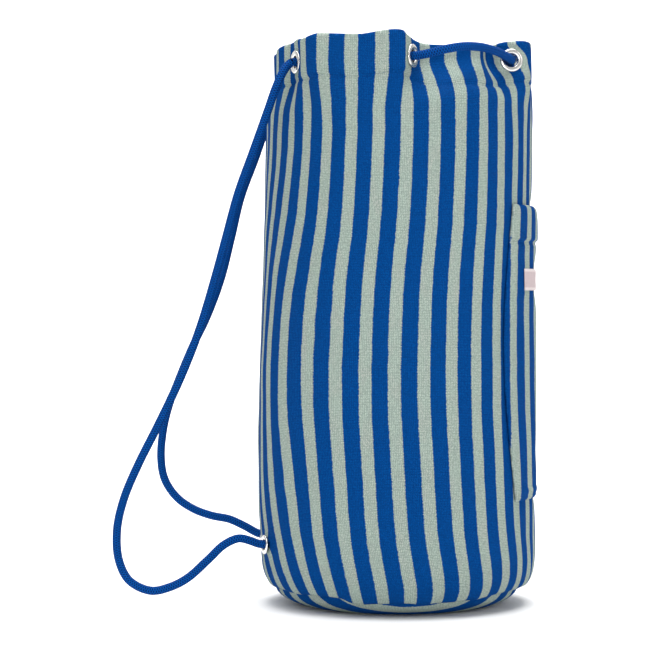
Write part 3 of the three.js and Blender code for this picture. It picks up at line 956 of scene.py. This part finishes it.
def turned_ring(name, profile, face, direction, sides=56):
    """A closed profile of radius and height, turned about the eyelet's axis. Height 0 is the cloth's face."""
    up = np.array([0.0, 0.0, 1.0])
    side = np.cross(up, direction)
    side /= np.linalg.norm(side)
    other = np.cross(direction, side)
    turn = 2 * math.pi * np.arange(sides) / sides
    points = [
        face + direction * h + (side * math.cos(t) + other * math.sin(t)) * r
        for t in turn for r, h in profile
    ]
    faces = grid_faces(sides, len(profile), True, True)
    return mesh_object(name, points, [f[::-1] for f in faces], METAL)


def eyelet_profile(size):
    """A domed flange, and a barrel whose end is rolled over the washer, as radii and heights."""
    bore, ring, lift = size["bore"], size["ring"], size["lift"]
    middle, half = (bore + ring) / 2, (ring - bore) / 2
    barrel = bore + 0.7
    under = -(size["cloth"] + lift + 1.1 + GAP)
    flange = [(bore + 0.15, lift - 0.4), (bore, lift + 0.3)]
    for turn in np.radians(np.linspace(160, 12, 10)):
        flange.append((middle + half * math.cos(turn), lift + 0.25 + 1.15 * math.sin(turn) ** 0.8))
    flange += [(ring, lift + 0.15), (ring - 0.25, lift), (barrel + 0.4, lift), (barrel, lift - 0.4)]
    rolled = [
        (barrel, under + 0.35), (barrel + 0.35, under), (barrel + 1.0, under), (barrel + 1.1, under - 0.3),
        (barrel + 0.6, under - 0.6), (bore + 0.3, under - 0.55), (bore, under - 0.2),
    ]
    return flange + rolled


def washer_profile(size):
    top = -(size["cloth"] + size["lift"])
    inner, outer = size["bore"] + 0.7 + GAP, size["washer"]
    return [
        (inner, top), (inner, top - 0.7), (inner + 0.3, top - 0.9), (outer - 0.5, top - 0.8),
        (outer, top - 0.5), (outer, top - 0.1), (outer - 0.2, top),
    ]


def make_eyelets():
    made = []
    places = [(f"neck_eyelet_{k + 1}", f"neck_washer_{k + 1}", NECK_EYELET, place)
              for k, place in enumerate(NECK_EYELETS)]
    places += [(f"base_eyelet_{s}", f"base_washer_{s}", BASE_EYELET, ANCHORS[s]) for s in ("left", "right")]
    for eyelet_node, washer_node, size, (face, direction) in places:
        ring = turned_ring(f"{eyelet_node}_rolled", eyelet_profile(size), face, direction)
        washer = turned_ring(f"{washer_node}_pressed", washer_profile(size), face, direction)
        made += [(ring, eyelet_node), (washer, washer_node)]
    return made


# ---- Cords ----

CORD_SIDES = 28
CORD_STEP = 1.6
CORD_END = 1.2  # how far a cut end stands out in its middle


def ways_along(path):
    """The way that a path goes at each point, and two directions across it that never twist."""
    ahead = np.gradient(path, axis=0)
    ahead /= np.linalg.norm(ahead, axis=1, keepdims=True)
    side = np.cross(ahead[0], [0.3, 0.2, 1.0])
    across = []
    for way in ahead:
        side = side - way * (side @ way)
        side /= np.linalg.norm(side)
        across.append((side, np.cross(way, side)))
    return ahead, across


def tube(name, route, step=CORD_STEP, radius=CORD_R):
    """A braided cord along a route. Returns the piece and the middles of its rings."""
    path = resample(spline(route, 0.5), step)
    ahead, across = ways_along(path)
    turn = 2 * math.pi * np.arange(CORD_SIDES)[:, None] / CORD_SIDES
    rings = [
        centre + radius * (np.cos(turn) * side + np.sin(turn) * other)
        for centre, (side, other) in zip(path, across)
    ]
    rows = len(rings)
    faces = [face[::-1] for face in grid_faces(CORD_SIDES, rows, True, False)]
    around = np.arange(CORD_SIDES)[:, None] / CORD_SIDES * np.ones((1, rows))
    along = lengths_along(path)[None, :] / UV_UNIT * np.ones((CORD_SIDES, 1))
    cloth = np.stack([around, along], axis=-1).reshape(-1, 2)
    corners = cloth[np.array(faces)]
    last_side = np.repeat(np.arange(CORD_SIDES), rows - 1) == CORD_SIDES - 1
    corners[last_side, 1:3, 0] += np.where(corners[last_side, 1:3, 0] < 0.01, 1.0, 0.0)
    corners = list(corners.reshape(-1, 2))
    points = list(np.stack(rings, axis=1).reshape(-1, 3))
    for row, outward in ((0, -1), (rows - 1, 1)):
        points.append(path[row] + ahead[row] * outward * CORD_END)
        for i in range(CORD_SIDES):
            i2 = (i + 1) % CORD_SIDES
            face = (i * rows + row, i2 * rows + row, len(points) - 1)
            faces.append(face if outward > 0 else face[::-1])
            corners += [cloth[i * rows + row]] * 3
    return mesh_object(name, np.array(points), faces, CORD, np.array(corners)), path


def mirrored(points):
    return [(x, -y, z) for x, y, z in points]


def strap_route(side):
    """A strap with the ends that go in at its neck eyelet and through its base eyelet."""
    face, direction = ANCHORS[side]
    start = NECK_ROUTE[:1] if side == "left" else mirrored(NECK_ROUTE[:1])
    return [*start, *STRAPS[side], face, face - direction * 6]


def knot_route(side):
    """An overhand knot, pulled up against the wall inside the base eyelet, and its short tail."""
    face, direction = ANCHORS[side]
    middle = face - direction * 15
    sideways = np.cross(direction, [0, 0, 1])
    route = [face - direction * 5.5, face - direction * 7.5]
    for turn in np.linspace(0.2, 2 * math.pi * 1.32, 15):
        loop = 3.9 + 0.9 * math.cos(1.5 * turn)
        lean = 2.6 * math.sin(1.5 * turn)
        route.append(middle + direction * lean + sideways * loop * math.sin(turn)
                     + np.array([0, 0, 1]) * loop * math.cos(turn))
    route.append(route[-1] - np.array([0, 0, 5.0]) - direction * 2)
    return route


def make_cords():
    neck, neck_path = tube("neck_cord", NECK_ROUTE + mirrored(NECK_ROUTE[:-1])[::-1])
    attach(neck, "bag")
    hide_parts("drawcord_neck")
    for side in ("left", "right"):
        strap, path = tube(f"strap_{side}_braid", strap_route(side))
        knot, _ = tube(f"end_knot_{side}", knot_route(side), step=1.0, radius=2.6)
        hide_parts(f"strap_cord_{side}")
        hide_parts(f"cord_knot_{side}")
        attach(knot, "bag")
        blend_strap(strap, side)


def blend_strap(strap, side):
    """Bakes the strap's place into its points. The line between its two eyelets and a direction away from it
    are worked out but not used.
    """
    top, bottom = Vector(STRAPS[side][0]) * MM, Vector(STRAPS[side][-1]) * MM
    axis = (bottom - top).normalized()
    away = Vector((-1, 0, 0))
    away = (away - axis * away.dot(axis)).normalized()
    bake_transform(strap)


# ---- Camera, light and floor ----

CAMERA_AZIMUTH = -4.0
CAMERA_DISTANCE = 1.5
CAMERA_HEIGHT = 0.220
CAMERA_LENS = 114.2
VIEW_LEFT = 0.0529  # how far left of the bag's axis the camera looks
VIEW_HEIGHT = 0.2025


def make_camera():
    turn = math.radians(CAMERA_AZIMUTH)
    right = Vector((math.cos(turn), math.sin(turn), 0))
    back = Vector((math.sin(turn), -math.cos(turn), 0))
    camera = bpy.data.objects.new("camera", bpy.data.cameras.new("camera"))
    camera.data.lens = CAMERA_LENS
    camera.data.sensor_width = 36
    camera.location = back * CAMERA_DISTANCE + Vector((0, 0, CAMERA_HEIGHT))
    target = -right * VIEW_LEFT + Vector((0, 0, VIEW_HEIGHT))
    camera.rotation_euler = (target - camera.location).to_track_quat("-Z", "Y").to_euler()
    bpy.context.scene.collection.objects.link(camera)
    bpy.context.scene.camera = camera


def area_light(name, place, target, size, power):
    light = bpy.data.lights.new(name, "AREA")
    light.shape = "DISK"
    light.size = size
    light.energy = power
    made = bpy.data.objects.new(name, light)
    made.location = place
    made.rotation_euler = (Vector(target) - Vector(place)).to_track_quat("-Z", "Y").to_euler()
    bpy.context.scene.collection.objects.link(made)


SWEEP_START = 1.4  # metres behind the bag, where the floor begins to bend up into the backdrop
SWEEP_R = 1.2


def make_stage():
    bend = [(SWEEP_START + SWEEP_R * math.sin(t), SWEEP_R - SWEEP_R * math.cos(t))
            for t in np.linspace(0, math.pi / 2, 24)]
    profile = [(-4.0, 0.0), *bend, (SWEEP_START + SWEEP_R, 5.0)]
    points = [(x, y, z) for y, z in profile for x in (-5.0, 5.0)]
    faces = [(2 * k, 2 * k + 1, 2 * k + 3, 2 * k + 2) for k in range(len(profile) - 1)]
    floor = mesh_object("floor", np.array(points) / MM, faces, floor_material())
    world = bpy.data.worlds.new("studio")
    world.use_nodes = True
    background = world.node_tree.nodes["Background"]
    background.inputs["Color"].default_value = (1, 1, 1, 1)
    background.inputs["Strength"].default_value = 0.62
    bpy.context.scene.world = world
    area_light("key", (-0.5, -1.35, 1.7), (0, 0, 0.3), 1.0, 8)
    area_light("low", (-0.3, -2.2, 0.15), (0, 0, 0.05), 0.8, 9)
    area_light("fill", (1.6, -1.5, 1.0), (0, 0, 0.2), 1.4, 5)
    area_light("top", (0.1, -0.35, 1.9), (0, 0, 0.2), 1.4, 28)
    area_light("backdrop", (0, 1.2, 2.6), (0, 2.6, 0.5), 2.0, 90)
    bpy.context.scene.view_settings.view_transform = "Standard"


# ---- Putting it together ----


def put_on_bag(piece, node):
    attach(piece, "bag")
    if node:
        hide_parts(node)


def main():
    make_camera()
    make_cords()
    wall, base, pocket, label = make_wall(), make_base(), make_pocket(), make_label()
    hem, pocket_thread = make_stitching()
    put_on_bag(wall, "outer_wall")
    put_on_bag(base, "base_panel")
    put_on_bag(pocket, "front_pocket")
    put_on_bag(label, "blank_label")
    put_on_bag(hem, None)
    put_on_bag(pocket_thread, None)
    for piece, node in make_eyelets():
        put_on_bag(piece, node)
    make_stage()


main()
